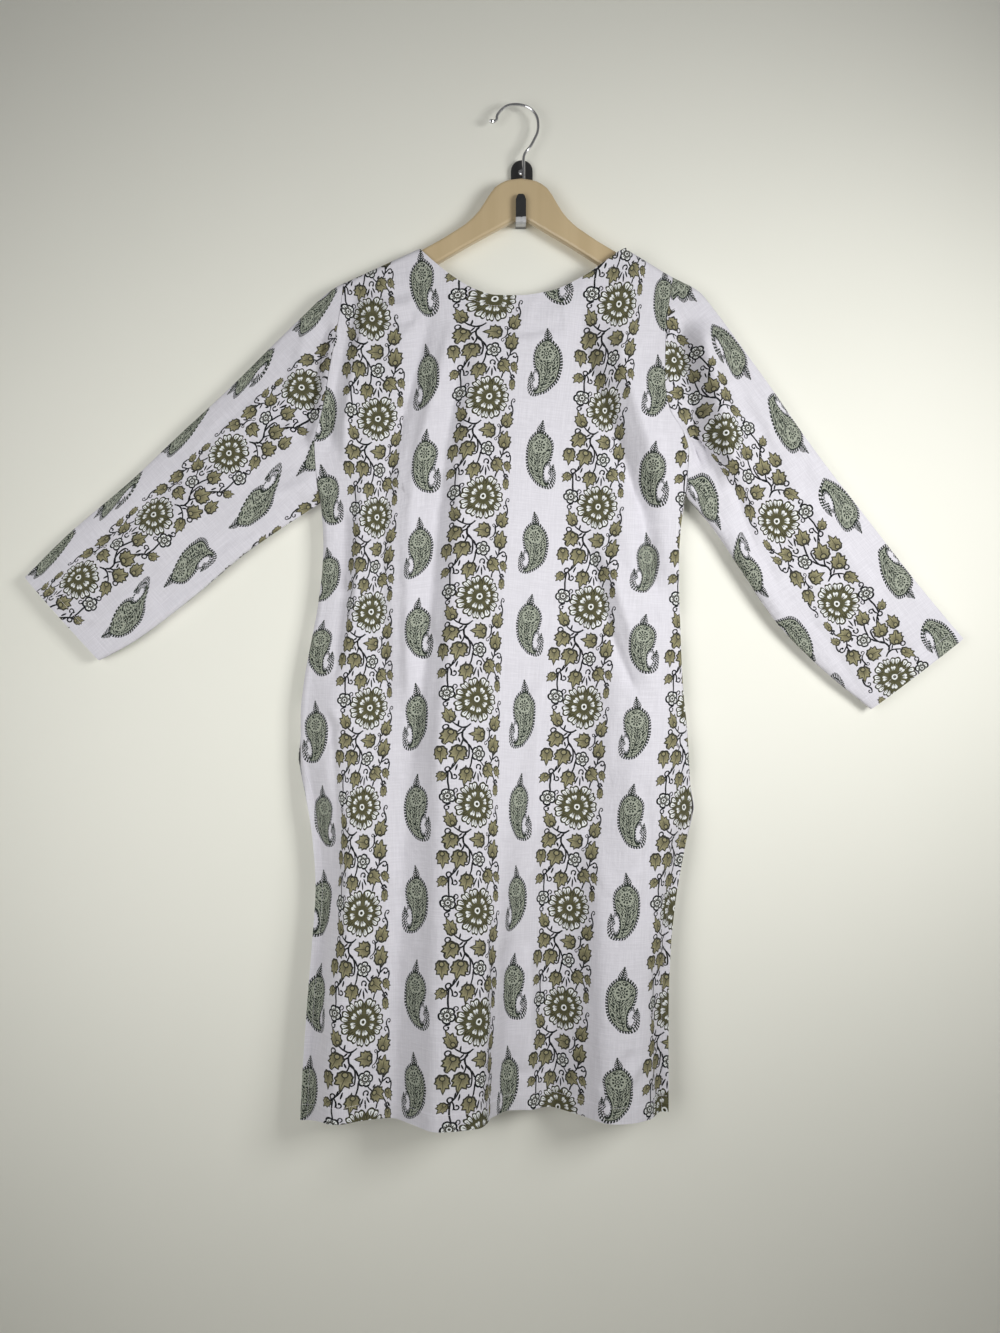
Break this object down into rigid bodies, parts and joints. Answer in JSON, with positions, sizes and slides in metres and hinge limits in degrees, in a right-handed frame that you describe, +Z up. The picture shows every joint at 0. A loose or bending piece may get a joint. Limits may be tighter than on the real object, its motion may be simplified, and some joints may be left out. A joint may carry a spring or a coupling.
{
  "type": "kurta tunic on hanger with wall hook",
  "caption": "Long-sleeved straight cotton kurta with side slits, open at neck, cuffs and hem, hung on a flat hanger that sits on a wall hook.",
  "frame": {"origin": "centre of the wall plate's back face, on the wall", "axes": "+Z up, +Y into the wall, the garment's shown side faces -Y"},
  "size_m": [1.1149, 0.0923, 1.197],
  "materials": {
    "cotton": "plain-weave cotton, pale lilac white, printed with olive and charcoal flower stripes and grey-green paisleys",
    "hanger": "flat tan, satin, faint grain",
    "wire": "bright chromed wire",
    "hook": "black enamel, worn to grey under the arm",
    "screw": "bright domed head"
  },
  "bodies": {
    "root": {"front_panel": "cotton", "back_panel": "cotton", "sleeve_left": "cotton", "sleeve_right": "cotton", "hanger_body": "hanger", "hanger_hook": "wire", "wall_hook": "hook", "wall_screw": "screw"}
  },
  "joints": []
}
